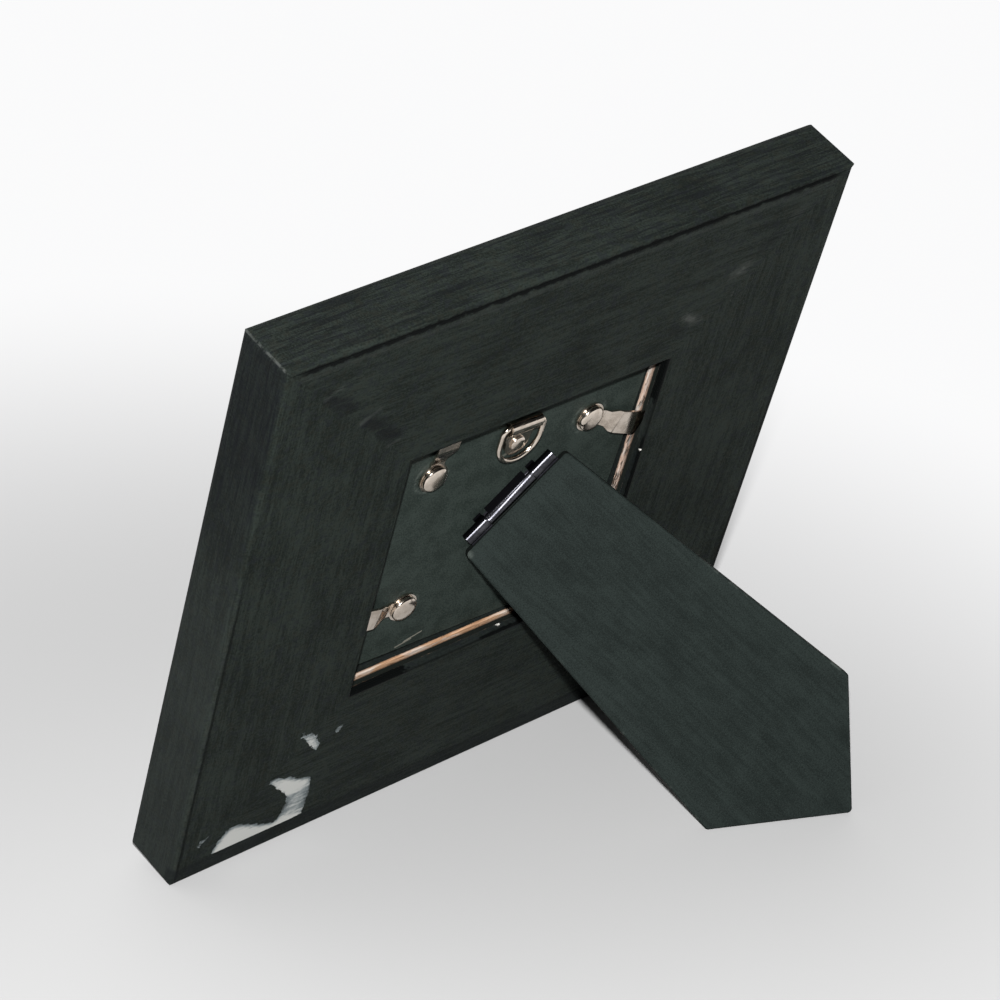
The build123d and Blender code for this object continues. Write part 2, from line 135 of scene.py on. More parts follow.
class Reading:
    """A number that a finish works out at every point of a surface."""

    def __init__(self, tree, socket):
        self.tree = tree
        self.socket = socket

    def reckon(self, operation, *others):
        node = self.tree.nodes.new("ShaderNodeMath")
        node.operation = operation
        for socket, value in zip(node.inputs, (self, *others)):
            plug(self.tree, value, socket)
        return Reading(self.tree, node.outputs[0])

    def __add__(self, other):
        return self.reckon("ADD", other)

    __radd__ = __add__

    def __sub__(self, other):
        return self.reckon("SUBTRACT", other)

    def __rsub__(self, other):
        return self.reckon("MULTIPLY", -1.0) + other

    def __mul__(self, other):
        return self.reckon("MULTIPLY", other)

    def __abs__(self):
        return self.reckon("ABSOLUTE")

    def least(self, other):
        return self.reckon("MINIMUM", other)

    def most(self, other):
        return self.reckon("MAXIMUM", other)

    def ease(self, start, end):
        """0 up to start and 1 from end on, or the other way round where start is the larger."""
        node = self.tree.nodes.new("ShaderNodeMapRange")
        node.interpolation_type = "SMOOTHSTEP"
        plug(self.tree, self, node.inputs["Value"])
        node.inputs["From Min"].default_value = start
        node.inputs["From Max"].default_value = end
        return Reading(self.tree, node.outputs["Result"])

    def between(self, low, high, soft):
        """1 between two limits and 0 outside them."""
        return self.ease(low - soft, low + soft) * self.ease(high + soft, high - soft)

# %% [markdown]
# ## A finish under way
# Stain and paint differ from place to place, so a finish has to know where on the frame it is. It reads
# its place from object coordinates, turned to the bench by one Mapping node, so a mark stays where it is
# put. The class offers what a painter would ask for: clouds of noise, a mix of two colours, the distance
# from a spot or a stroke, and a raised surface.


# %% A finish with its place
class Finish:
    """A material under way, with its place on a bench in millimetres."""

    def __init__(self, name, where):
        self.material = bpy.data.materials.new(name)
        self.material.use_nodes = True
        self.tree = self.material.node_tree
        self.shader = self.tree.nodes["Principled BSDF"]
        back = where.inverted()
        spot = self.tree.nodes.new("ShaderNodeTexCoord")
        mapping = self.tree.nodes.new("ShaderNodeMapping")
        mapping.inputs["Location"].default_value = back.translation / MM
        mapping.inputs["Rotation"].default_value = back.to_3x3().to_euler()
        mapping.inputs["Scale"].default_value = (1 / MM, 1 / MM, 1 / MM)
        self.tree.links.new(spot.outputs["Object"], mapping.inputs["Vector"])
        self.point = mapping.outputs["Vector"]
        split = self.tree.nodes.new("ShaderNodeSeparateXYZ")
        self.tree.links.new(self.point, split.inputs[0])
        self.x, self.y, self.z = (Reading(self.tree, socket) for socket in split.outputs)

    def cloud(self, stretch, detail=2.0, rough=0.5, shift=0.0):
        """Noise about 0.5, with so many waves to a millimetre along each axis."""
        moved = self.tree.nodes.new("ShaderNodeVectorMath")
        moved.operation = "MULTIPLY_ADD"
        self.tree.links.new(self.point, moved.inputs[0])
        moved.inputs[1].default_value = stretch
        moved.inputs[2].default_value = (shift, shift, shift)
        texture = self.tree.nodes.new("ShaderNodeTexNoise")
        self.tree.links.new(moved.outputs[0], texture.inputs["Vector"])
        texture.inputs["Scale"].default_value = 1.0
        texture.inputs["Detail"].default_value = detail
        texture.inputs["Roughness"].default_value = rough
        return Reading(self.tree, texture.outputs[0])

    def mix(self, share, under, over):
        """A colour between two, or over the first where share is 1."""
        node = self.tree.nodes.new("ShaderNodeMix")
        node.data_type = "RGBA"
        plug(self.tree, share, node.inputs["Factor"])
        for socket, colour in ((node.inputs[6], under), (node.inputs[7], over)):
            plug(self.tree, colour if isinstance(colour, bpy.types.NodeSocket) else (*colour, 1.0), socket)
        return node.outputs[2]

    def waver(self, waves, amount):
        """Let all noise that follows run in gentle waves, as grain does."""
        texture = self.tree.nodes.new("ShaderNodeTexNoise")
        self.tree.links.new(self.point, texture.inputs["Vector"])
        texture.inputs["Scale"].default_value = waves
        shifted = self.tree.nodes.new("ShaderNodeVectorMath")
        shifted.operation = "MULTIPLY_ADD"
        self.tree.links.new(texture.outputs["Color"], shifted.inputs[0])
        shifted.inputs[1].default_value = (amount, amount, amount)
        self.tree.links.new(self.point, shifted.inputs[2])
        self.point = shifted.outputs[0]

    def stored(self, name):
        """A number that the mesh keeps at its points."""
        node = self.tree.nodes.new("ShaderNodeAttribute")
        node.attribute_name = name
        return Reading(self.tree, node.outputs["Fac"])

    def from_spot(self, spot):
        """How far a point of the surface is from a place."""
        off = [part - value for part, value in zip((self.x, self.y, self.z), spot)]
        return (off[0] * off[0] + off[1] * off[1] + off[2] * off[2]).reckon("SQRT")

    def from_stroke(self, start, end):
        """How far a point of the surface is from a stroke between two places, in plan."""
        run = (end[0] - start[0], end[1] - start[1])
        square = max(run[0] ** 2 + run[1] ** 2, 1e-6)
        along = (self.x - start[0]) * (run[0] / square) + (self.y - start[1]) * (run[1] / square)
        along = along.most(0.0).least(1.0)
        off_x = self.x - start[0] - along * run[0]
        off_y = self.y - start[1] - along * run[1]
        return (off_x * off_x + off_y * off_y).reckon("SQRT")

    def set(self, **values):
        """Set sockets of the shader by name, with _ for a space."""
        for name, value in values.items():
            plug(self.tree, value, self.shader.inputs[name.replace("_", " ")])

    def emboss(self, height):
        """Raise or sink the surface by a height in millimetres."""
        bump = self.tree.nodes.new("ShaderNodeBump")
        bump.inputs["Distance"].default_value = MM
        plug(self.tree, height, bump.inputs["Height"])
        self.tree.links.new(bump.outputs["Normal"], self.shader.inputs["Normal"])


def coat(material, *names):
    """Give a finish to pieces of the CAD model."""
    for name in names:
        nodes[name].data.materials.clear()
        nodes[name].data.materials.append(material)
    print(material.name, "on", ", ".join(names))

# %% [markdown]
# ## Stained wood
# The rails are plain pine, brushed with a thin green black stain before the groove was cut, so the
# brush and the grain leave fine streaks along each rail. Two finishes are needed because the grain
# turns at the mitres. Long stretched noise gives the streaks, and slow noise lets the tint drift between
# blue and brown, as a thin stain does where it soaks in unevenly.

# %% Stain brushed along the grain
HALF_SIDE = 87.5
STAIN_DARK = (0.0074, 0.0098, 0.0082)
STAIN_LIGHT = (0.0198, 0.0256, 0.0218)
STAIN_BLUE = (0.0120, 0.0140, 0.0158)
STAIN_BROWN = (0.0172, 0.0172, 0.0132)
STAIN_NIGHT = (0.0048, 0.0056, 0.0070)
STAIN_BLACK = (0.0022, 0.0026, 0.0026)


def along_grain(rail, along, length, width, detail, rough, shift):
    """Noise drawn out along a rail."""
    waves = [1 / width] * 3
    waves["xy".index(along)] = 1 / length
    return rail.cloud(waves, detail, rough, shift)


def brushed_stain(rail, along):
    """The colour of the thin stain, how light it is, and the pores that it sinks into."""
    pores = along_grain(rail, along, 8.0, 0.42, 3.0, 0.65, 0.0)
    brush = along_grain(rail, along, 24.0, 1.6, 3.0, 0.6, 5.3)
    speckle = rail.cloud((1.9, 1.9, 1.9), 2.0, 0.6, 7.7)
    drift = rail.cloud((0.05, 0.05, 0.05), 3.0, 0.6, 2.1)
    tone = (pores * 0.28 + brush * 0.22 + speckle * 0.32 + drift * 0.18).ease(0.41, 0.59)
    colour = rail.mix(tone, STAIN_DARK, STAIN_LIGHT)
    tint = rail.cloud((0.45, 0.45, 0.45), 3.0, 0.7, 17.0)
    colour = rail.mix(tint.ease(0.52, 0.62) * 0.55, colour, STAIN_BLUE)
    colour = rail.mix(tint.ease(0.48, 0.38) * 0.32, colour, STAIN_BROWN)
    return colour, tone, pores


print("the stain runs from", STAIN_DARK, "to", STAIN_LIGHT)

# %% [markdown]
# ## Wear outside
# The outside of a frame tells how it was handled. The quirk under the top edge is darkened nearly black,
# which is painted shade in the groove over stain that gathered there. Low down beside the arrises of the
# sides a thin dark line is painted shade of a small step, with a narrow painted highlight just outside it,
# and hands rub the stain off the corners. Each of these is a band at some distance in from the outline,
# so that one distance places all of them. Noise makes the bands waver, because a straight band would look printed.

# %% Wear on the outside of a rail
QUIRK_IN = 2.2
QUIRK_RUB_IN = 4.2
ARRIS_LINE_IN = 2.0
ARRIS_HIGHLIGHT_IN = 1.1
# a pale colour for stain worn off, also used as a painted highlight beside the side arrises
RUB_AND_HIGHLIGHT = (0.085, 0.092, 0.086)
SIDE_LIGHT = (0.030, 0.034, 0.033)


def wear_outside(rail, along, colour, inset, patchy):
    """Dark streaks on the outer sides, painted shade over gathered stain in the quirk, a painted shade line and a
    painted highlight beside the side arrises, and stain worn off the corners.
    """
    outer = inset.ease(0.9, 0.3)
    high = rail.y.ease(-20.0, 50.0)
    streaks = along_grain(rail, along, 15.0, 0.8, 3.0, 0.6, 9.7).ease(0.50, 0.38)
    colour = rail.mix(outer * streaks * (high * 0.40 + 0.15), colour, STAIN_NIGHT)
    on_back = rail.z.ease(-2.3, -1.9)
    waver = (patchy - 0.5) * 2.4
    if along == "x":
        top = rail.y.ease(70.0, 80.0) * abs(rail.x).ease(86.0, 80.0)
        # painted shade: the quirk is darkened nearly black as the shade in the groove, over stain that gathers
        # there
        shaded_and_pooled = abs(inset - QUIRK_IN + waver).ease(1.15, 0.50) * rail.z.ease(-1.3, -1.0)
        colour = rail.mix(shaded_and_pooled * top * 0.97, colour, STAIN_BLACK)
        rubbed = abs(inset - QUIRK_RUB_IN + waver).ease(1.3, 0.2) * top
        colour = rail.mix(rubbed * 0.10, colour, RUB_AND_HIGHLIGHT)
    else:
        darkened = outer * rail.y.ease(5.0, 60.0) * (0.25 + patchy * 0.5)
        colour = rail.mix(darkened, colour, STAIN_NIGHT)
        colour = rail.mix(outer * (1.0 - high) * 0.30, colour, SIDE_LIGHT)
        lower_end = rail.y.ease(26.0, 4.0) * on_back
        # painted shade: a thin dark line low down beside the arris of a side, standing for the shade of a small
        # step there
        step_shade_line = abs(inset - ARRIS_LINE_IN + waver * 0.3).ease(0.55, 0.20) * lower_end
        colour = rail.mix(step_shade_line * 0.7, colour, STAIN_BLACK)
        # painted highlight: a narrow lighter line just outside the dark line, where the rounded arris catches the
        # light
        rubbed = abs(inset - ARRIS_HIGHLIGHT_IN).ease(0.6, 0.2) * lower_end * patchy.ease(0.1, 0.9)
        colour = rail.mix(rubbed * 0.16, colour, RUB_AND_HIGHLIGHT)
    colour = rail.mix(rail.y.ease(-80.9, -82.2) * on_back * 0.5, colour, STAIN_NIGHT)
    corner = abs(rail.x).least(abs(rail.y)).ease(86.55, 86.85) * patchy.ease(0.36, 0.56)
    colour = rail.mix(corner * 0.55, colour, RUB_AND_HIGHLIGHT)
    mitre = abs(abs(rail.x) - abs(rail.y)).ease(0.26, 0.06)
    return rail.mix(mitre * 0.06, colour, STAIN_BLACK)


print("the quirk is pooled black", QUIRK_IN, "mm in from the top edge")

# %% [markdown]
# ## Marks over the nails
# Where the corner nails were driven, the back was filled and dabbed with stain again, which leaves dark
# blots and pale rubs. Each mark is a soft stroke between two places measured on the back. The pores of
# the wood break it up, so it lies in the grain and not over it.

# %% Marks on the back
BLOT = (0.0052, 0.0056, 0.0068)
RUB = (0.050, 0.055, 0.052)
FILLER = (0.058, 0.062, 0.058)
FILLER_PALE = (0.100, 0.105, 0.098)
FILLER_WARM = (0.100, 0.102, 0.096)
FILLER_DULL = (0.045, 0.049, 0.045)
# start, end, half width, colour and how much it covers
RAIL_MARKS = (
    ((-72.6, 74.2), (-65.0, 68.0), 2.5, BLOT, 0.75),
    ((-57.6, 60.2), (-48.8, 52.2), 2.7, BLOT, 0.80),
    ((-73.9, 73.9), (-69.4, 75.9), 0.90, RUB, 0.38),
    ((-60.6, 61.2), (-55.7, 63.9), 0.90, RUB, 0.38),
    ((-50.0, 49.5), (-46.7, 50.5), 0.85, RUB, 0.38),
    ((55.0, 63.0), (58.9, 64.4), 2.4, FILLER, 0.34),
    ((56.2, 63.2), (57.4, 64.0), 1.0, FILLER_PALE, 0.34),
    ((41.6, 54.2), (45.8, 51.4), 2.1, FILLER, 0.34),
    ((42.4, 53.5), (44.6, 52.0), 0.9, FILLER_WARM, 0.34),
    ((70.5, 76.4), (72.6, 77.1), 2.2, FILLER_DULL, 0.30),
    ((62.6, 68.8), (66.0, 71.0), 2.4, BLOT, 0.45),
    ((38.8, 50.4), (41.0, 49.6), 2.2, BLOT, 0.45),
)


def mark_back(rail, colour, pores, patchy):
    """Soft blots and short rubs at places measured on the back."""
    on_back = rail.z.ease(-0.6, -0.3)
    for start, end, half_width, mark, cover in RAIL_MARKS:
        spread = rail.from_stroke(start, end) + (patchy - 0.5) * (half_width * 2.0)
        blot = spread.ease(half_width * 1.15, half_width * 0.2) * on_back
        colour = rail.mix(blot * pores.ease(0.30, 0.55) * cover, colour, mark)
    return colour


print("marks on the back:", len(RAIL_MARKS))

# %% [markdown]
# ## Wall of the opening
# The groove for the clips was cut into the wall of the opening after staining, so it shows raw wood with
# a torn mouth. Stain has run black over parts of the wall, and a few chips are gone. The depth below the
# back tells wall from groove, and ragged noise is added to that depth, so the stain ends the way wood
# tears.

# %% The wall and the raw groove in it
# where stain has run black over the wall: from, to, and how deep it goes, along the rail
BLACK_RUNS = {
    "x": ((-44.0, -22.5, -2.7), (2.0, 17.5, -0.8), (30.0, 44.0, -2.7)),
    "y": ((26.0, 44.0, -2.7), (-20.0, 13.0, -0.8), (-44.0, -34.0, -2.7)),
}
RAW_WOOD = {
    "x": ((0.330, 0.185, 0.105), (0.560, 0.350, 0.220)),
    "y": ((0.380, 0.240, 0.175), (0.700, 0.560, 0.470)),
}
SMEARED = {"x": (0.60, 0.70), "y": (0.50, 0.60)}
RAW_SHADED = (0.130, 0.068, 0.036)
GROOVE_DEEP = (0.0150, 0.0180, 0.0155)
# place and half width of each chip
CHIPS = ((8.2, -40.6, -3.0, 1.10), (8.9, -40.6, -2.3, 0.75), (40.5, 9.4, -0.1, 0.30))
CHIPPED = (0.600, 0.580, 0.540)


def dress_wall(rail, along, run, colour, from_middle):
    """Stain run over the wall, a painted shade line on the arris, raw wood at the mouth of the groove with painted
    highlight streaks, and a few chips.
    """
    wall = from_middle.ease(41.2, 40.8)
    # painted shade: a thin black line along the arris of the opening, for the shade in the gap down to the board
    arris = from_middle.ease(41.15, 40.75) * rail.z.ease(-0.5, -0.2)
    colour = rail.mix(arris * 0.75, colour, STAIN_BLACK)
    tatter = rail.cloud((0.55, 0.55, 0.9), 4.0, 0.7, 21.0) - 0.5
    colour = rail.mix(wall * rail.z.ease(-0.1, -0.5) * 0.4, colour, STAIN_NIGHT)
    wet = 0.0
    for low, high, deep in BLACK_RUNS[along]:
        stretch = (run + tatter * 11.0).between(low, high, 0.6)
        wet = stretch * (rail.z + tatter * 1.5).ease(deep - 0.15, deep + 0.15) + wet
    wet = wet.least(1.0) * wall
    colour = rail.mix(wet * 0.95, colour, STAIN_BLACK)

    fibre = along_grain(rail, along, 7.0, 0.25, 3.0, 0.6, 41.0)
    raw = rail.mix(fibre.ease(0.34, 0.66), *RAW_WOOD[along])
    shaded = from_middle.ease(41.1, 42.2).most(rail.z.ease(-5.0, -5.5) * 0.8)
    raw = rail.mix(shaded * 0.75, raw, RAW_SHADED)
    smear = along_grain(rail, along, 4.0, 1.0, 3.0, 0.65, 52.0).ease(*SMEARED[along])
    raw = rail.mix(smear * 0.85, raw, STAIN_BROWN)
    # painted highlight: pale streaks along the raw fibres where the light falls, kept off the shaded part of the
    # groove
    raw_wood_glint = along_grain(rail, along, 9.0, 2.0, 2.0, 0.6, 63.0).ease(0.50, 0.62)
    raw = rail.mix(raw_wood_glint * (1.0 - shaded) * 0.55, raw, CHIPPED)
    ragged = rail.z + tatter * 0.30
    groove = ragged.between(-5.50, -2.36, 0.10) * from_middle.between(40.1, 46.3, 0.05)
    colour = rail.mix(groove, colour, rail.mix(from_middle.ease(41.7, 42.3), raw, GROOVE_DEEP))
    for x, y, z, half in CHIPS:
        chip = (rail.from_spot((x, y, z)) + tatter * 2.0).ease(half, half * 0.6)
        colour = rail.mix(chip, colour, CHIPPED)
    return colour, wet, groove * fibre


print("runs of stain over the wall:", sum(map(len, BLACK_RUNS.values())), "and chips:", len(CHIPS))

# %% [markdown]
# ## Both directions of the grain
# The steps above come together here. The grain turns at the mitres, so the same finish is mixed twice,
# once for the top and bottom rails and once for the sides. Wet looking runs are smoother than the dry
# stain, and the fibres in the groove stand up a little.


# %% The two finishes of the rails
def rail_stain(name, along):
    """The stained finish of two rails whose grain runs along one bench axis."""
    rail = Finish(name, bench)
    rail.waver(0.06, 1.0)
    from_middle = abs(rail.x).most(abs(rail.y))
    patchy = rail.cloud((0.38, 0.38, 0.38), 3.0, 0.65, 14.0)
    colour, tone, pores = brushed_stain(rail, along)
    colour = wear_outside(rail, along, colour, HALF_SIDE - from_middle, patchy)
    colour = mark_back(rail, colour, pores, patchy)
    run = rail.x if along == "x" else rail.y
    colour, wet, raised = dress_wall(rail, along, run, colour, from_middle)
    rail.set(Base_Color=colour, Roughness=0.74 - tone * 0.10 - wet * 0.35, Specular_IOR_Level=0.05)
    rail.emboss(tone * 0.06 + pores * 0.03 + raised * 0.10)
    return rail.material


coat(rail_stain("stain_along_top_and_bottom", "x"), "rail_top", "rail_bottom")
coat(rail_stain("stain_along_sides", "y"), "rail_left", "rail_right")

# %% [markdown]
# ## Corner nails under the stain
# Bent steel V-nails pull each mitre together. They were driven flush and stained over, so only a thin
# dark line is left, with a rub of bare steel here and there. The finish is mostly stain and mostly not
# metal, and noise lets the steel through.

# %% V-nails
NAIL_STEEL = (0.09, 0.09, 0.085)

nail = Finish("stained_over_nail", bench)
nail_rub = nail.cloud((0.45, 0.45, 0.45), 3.0, 0.6, 3.0).ease(0.60, 0.72)
nail_tone = nail.cloud((1.1, 1.1, 1.1), 3.0, 0.6, 8.0).ease(0.3, 0.7)
nail_stain = nail.mix(nail_tone, STAIN_DARK, STAIN_LIGHT)
bare_steel = nail_rub * 0.4
nail.set(Base_Color=nail.mix(bare_steel, nail_stain, NAIL_STEEL), Metallic=bare_steel)
nail.set(Roughness=0.70 - nail_rub * 0.2, Specular_IOR_Level=0.07)
nail.emboss(nail_tone * 0.03)
coat(nail.material, "corner_v_nails")

# %% [markdown]
# ## Painted board
# The backboard and the leg are hard fibreboard with one coat of green grey paint. Rolled paint on
# fibreboard is smooth, with a very fine skin like an orange. The eyes of the clips have worn faint rings
# round their rivets, and one long scratch near the bottom shows the pale board under the paint.

# %% Paint on the backboard
PAINT_DARK = (0.0160, 0.0222, 0.0192)
PAINT_LIGHT = (0.0335, 0.0440, 0.0388)
PAINT_WORN = (0.088, 0.102, 0.092)
BOARD_BARE = (0.250, 0.240, 0.200)
HALF_BOARD = 38.997
# as shares of half the board, from its middle
CLIP_PLACES = {
    "top": (-0.691, 0.598),
    "left": (0.590, 0.626),
    "right": (-0.609, -0.566),
    "bottom": (0.610, -0.590),
}
# start, end, half width and how much it covers
BOARD_SCRATCHES = (
    ((-21.2, -38.0), (-16.5, -36.9), 0.35, 0.65),
    ((-18.6, -37.0), (-13.4, -35.6), 0.28, 0.8),
    ((-4.4, 20.8), (-3.0, 21.3), 0.6, 0.35),
)

paint = Finish("paint_on_backboard", board)
skin = paint.cloud((2.1, 2.1, 2.1), 2.0, 0.6, 0.0)
rolled = paint.cloud((0.16, 0.16, 0.16), 4.0, 0.65, 6.0)
paint_tone = (skin * 0.55 + rolled * 0.45).ease(0.40, 0.60)
paint_colour = paint.mix(paint_tone, PAINT_DARK, PAINT_LIGHT)
worn = paint.cloud((0.30, 0.30, 0.30), 3.0, 0.65, 12.0)
for share_x, share_y in CLIP_PLACES.values():
    middle = (share_x * HALF_BOARD, share_y * HALF_BOARD)
    worn_ring = paint.from_stroke(middle, middle).between(4.7, 5.5, 0.45)
    paint_colour = paint.mix(worn_ring * worn.ease(0.47, 0.62) * 0.6, paint_colour, PAINT_WORN)
for start, end, half_width, cover in BOARD_SCRATCHES:
    scratch = paint.from_stroke(start, end) + (skin - 0.5) * (half_width * 1.5)
    paint_colour = paint.mix(scratch.ease(half_width, half_width * 0.4) * cover, paint_colour, BOARD_BARE)
paint.set(Base_Color=paint_colour, Roughness=0.62 + (rolled - 0.5) * 0.3, Specular_IOR_Level=0.06)
paint.emboss(skin * 0.035 + rolled * 0.02)
coat(paint.material, "backboard")

# %% [markdown]
# ## Painted leg
# The leg has the same kind of paint, laid on darker. It was brushed along its length and wiped round its
# edges, so a faintly lighter border runs down both sides and across the top. The cut edges of fibreboard
# drink the paint and stay brown where they are handled. The distance from each long edge is worked out
# from the slope of the leg, so the border follows it.

# %% Paint on the leg
LEG_TOP_HALF = 17.75
LEG_TOP_AT = 2.0
LEG_SPREAD = 0.0923
LEG_DARK = (0.0070, 0.0098, 0.0089)
LEG_LIGHT = (0.0166, 0.0226, 0.0207)
EDGE_BROWN = (0.060, 0.046, 0.034)
EDGE_STAINED = (0.007, 0.009, 0.008)

leg_paint = Finish("paint_on_leg", leg)
leg_skin = leg_paint.cloud((3.4, 2.2, 3.4), 2.0, 0.65, 0.0)
leg_brush = leg_paint.cloud((0.80, 0.06, 0.80), 4.0, 0.6, 4.0)
leg_mottle = leg_paint.cloud((0.20, 0.13, 0.20), 4.0, 0.65, 9.0)
side_in = (leg_paint.y - LEG_TOP_AT) * LEG_SPREAD + LEG_TOP_HALF - abs(leg_paint.x)
top_in = leg_paint.y - LEG_TOP_AT
from_edge = side_in.least(top_in * 0.8)
border = (from_edge + (leg_mottle - 0.5) * 9.0).ease(6.5, 2.0)
leg_tone = (leg_skin * 0.52 + leg_brush * 0.23 + leg_mottle * 0.25 + border * 0.03).ease(0.37, 0.65)
leg_colour = leg_paint.mix(leg_tone, LEG_DARK, LEG_LIGHT)
handled = leg_paint.cloud((0.22, 0.22, 0.22), 3.0, 0.65, 17.0)
arris = from_edge.ease(0.75, 0.30) * leg_paint.z.ease(0.9, 1.3)
lower_part = leg_paint.y.ease(20.0, 75.0)
rubbed_arris = arris * handled.ease(0.52, 0.66) * lower_part
leg_colour = leg_paint.mix(rubbed_arris * 0.4, leg_colour, PAINT_WORN)
corner_from = (LEG_TOP_HALF, LEG_TOP_AT)
corner_to = (LEG_TOP_HALF - 0.6, LEG_TOP_AT + 0.6)
worn_corner = (leg_paint.from_stroke(corner_from, corner_to) + (leg_skin - 0.5) * 2.0).ease(1.5, 0.2)
leg_colour = leg_paint.mix(worn_corner * 0.4, leg_colour, PAINT_WORN)
cut_edge = leg_paint.z.ease(1.20, 1.10) * leg_paint.z.ease(-1.48, -1.42)
edge_colour = leg_paint.mix(handled.ease(0.42, 0.62) * lower_part, EDGE_STAINED, EDGE_BROWN)
leg_colour = leg_paint.mix(cut_edge, leg_colour, edge_colour)
leg_paint.set(Base_Color=leg_colour, Roughness=0.62 + (leg_mottle - 0.5) * 0.3 + cut_edge * 0.2)
leg_paint.set(Specular_IOR_Level=0.06)
leg_paint.emboss(leg_skin * 0.035 + leg_brush * 0.03)
coat(leg_paint.material, "easel_leg")

# %% [markdown]
# ## Bright nickel
# Clips, rivets and hanger are stamped and bent from nickel plated steel. Handling leaves faint clouds on
# the plating and hairline scratches, which change how sharp the reflections are more than the colour. On
# a metal the colour is the colour of its reflections, so the lamp and the floor do the rest.

# %% Plated strip
NICKEL_BRIGHT = (0.68, 0.60, 0.52)
NICKEL_HAZY = (0.50, 0.43, 0.36)
CLIPS = ("turn_clip_top", "turn_clip_left", "turn_clip_right", "turn_clip_bottom")

nickel = Finish("bright_nickel", bench)
haze = nickel.cloud((0.24, 0.24, 0.24), 3.0, 0.6, 2.0)
hairline = nickel.cloud((0.7, 5.0, 2.0), 2.0, 0.6, 6.0)
nickel_colour = nickel.mix(haze.ease(0.42, 0.66), NICKEL_BRIGHT, NICKEL_HAZY)
nickel.set(Base_Color=nickel_colour, Metallic=1.0)
nickel.set(Roughness=haze.ease(0.35, 0.68) * 0.13 + 0.11 + hairline.ease(0.55, 0.75) * 0.06)
nickel.emboss(hairline * 0.004)
coat(nickel.material, *CLIPS, "hanger_strap")

# %% [markdown]
# ## Rolled hinge
# The easel hinge is rolled from dark polished steel. Rolled knuckles never lie quite in line, so the
# light along the barrel steps from one knuckle to the next. A slope across the barrel, one way on the
# middle knuckle and the other way on the ends, does that without moving the solids. The leaf and its
# stop tongues are painted nearly black and matt as shade, for the dark gap between barrel, board and leg,
# and the distance from the pin tells them from the barrel.

# %% Hinge steel
BARREL_HALF = 1.65
MIDDLE_HALF = 7.80
KNUCKLE_GAP = 0.5
MIDDLE_LEAN = 0.24
MIDDLE_TWIST = 0.02
END_LEAN = 0.10
STEEL_BRIGHT = (0.085, 0.085, 0.095)
STEEL_TARNISHED = (0.045, 0.045, 0.052)
LEAF_PAINTED_SHADE = (0.004, 0.004, 0.005)

hinge = Finish("dark_hinge_steel", leg)
tarnish = hinge.cloud((0.26, 0.26, 0.26), 3.0, 0.65, 2.0)
rolling = hinge.cloud((0.25, 3.0, 3.0), 2.0, 0.6, 6.0)
off_pin = (hinge.y * hinge.y + hinge.z * hinge.z).reckon("SQRT")
leaf = off_pin.ease(BARREL_HALF + 0.02, BARREL_HALF + 0.12).most(abs(hinge.y).ease(0.85, 1.10))
steel = hinge.mix(tarnish.ease(0.40, 0.62), STEEL_BRIGHT, STEEL_TARNISHED)
# painted shade: the leaf and stop tongues are made nearly black, for the shadow between barrel, board and leg
steel = hinge.mix(leaf * 0.97, steel, LEAF_PAINTED_SHADE)
hinge.set(Base_Color=steel, Metallic=1.0)
polish = tarnish.ease(0.36, 0.66) * 0.06 + 0.23 + rolling.ease(0.55, 0.75) * 0.05
hinge.set(Roughness=polish + leaf * 0.30)
middle_knuckle = abs(hinge.x).ease(MIDDLE_HALF + KNUCKLE_GAP, MIDDLE_HALF - KNUCKLE_GAP)
rolled_off = middle_knuckle * (hinge.x * MIDDLE_TWIST + MIDDLE_LEAN) - END_LEAN
hinge.emboss(rolling * 0.005 + rolled_off * hinge.y * (1.0 - leaf))
coat(hinge.material, "hinge_leg_leaf", "hinge_board_leaf", "hinge_pin")

# %% [markdown]
# ## Tools for edit mode
# The next pieces are modelled in edit mode: pick some faces, extrude them, widen them. A few small tools
# keep those steps short. The last one carries a finished piece from the bench to its place, gives it a
# finish and says which body of the part it rides on.


# %% Small tools
def begin():
    """Leave nothing selected, so the next operator acts on the new piece alone."""
    bpy.ops.object.select_all(action="DESELECT")


def pick_faces(piece, wanted):
    """In edit mode, select the faces that wanted says yes to, and nothing else."""
    bpy.ops.mesh.select_mode(type="FACE")
    bpy.ops.mesh.select_all(action="DESELECT")
    mesh = bmesh.from_edit_mesh(piece.data)
    for face in mesh.faces:
        face.select_set(bool(wanted(face)))
    bmesh.update_edit_mesh(piece.data)


def draw_out(up, spread):
    """Extrude the picked face along Z and widen or narrow it."""
    bpy.ops.mesh.extrude_region_move(TRANSFORM_OT_translate={"value": (0, 0, up)})
    bpy.ops.transform.resize(value=(spread, spread, 1))


def settle(piece, where, body, material):
    """Carry a finished piece to its place and leave its object at the origin."""
    piece.matrix_world = where
    bpy.ops.object.transform_apply(location=True, rotation=True, scale=True)
    bpy.ops.object.shade_smooth_by_angle(angle=math.radians(35))
    piece.data.materials.clear()
    piece.data.materials.append(material)
    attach(piece, body)
    print(piece.name, "rides on", body, "with", len(piece.data.polygons), "faces")

# %% [markdown]
# ## Rivets
# The CAD rivets have a few flat bands for a crown, which is enough for a collision shape. A real rivet
# head is pressed smooth, with a steep rim and a nearly flat top, and the rim is what catches the light.
# A cylinder is a good start: its top face is extruded and narrowed in small steps along an arc, and its
# bottom face is inset and drawn down into the shank and the set end.

# %% Rivets of the clips and the hanger
BOARD_THICK = 3.0 * MM
SET_END_SUNK = 0.8 * MM
SET_END_THICK = 0.6 * MM
CROWN_STEPS = 9
CROWN_FULLNESS = 2.6
CLIP_RIVET = {
    "head": 7.4 * MM, "height": 1.5 * MM, "edge": 0.30 * MM,
    "shank": 3.0 * MM, "set_end": 4.6 * MM, "grip": 0.8 * MM,
}
HANGER_RIVET = {
    "head": 4.4 * MM, "height": 0.9 * MM, "edge": 0.2 * MM,
    "shank": 2.2 * MM, "set_end": 3.6 * MM, "grip": 1.0 * MM,
}


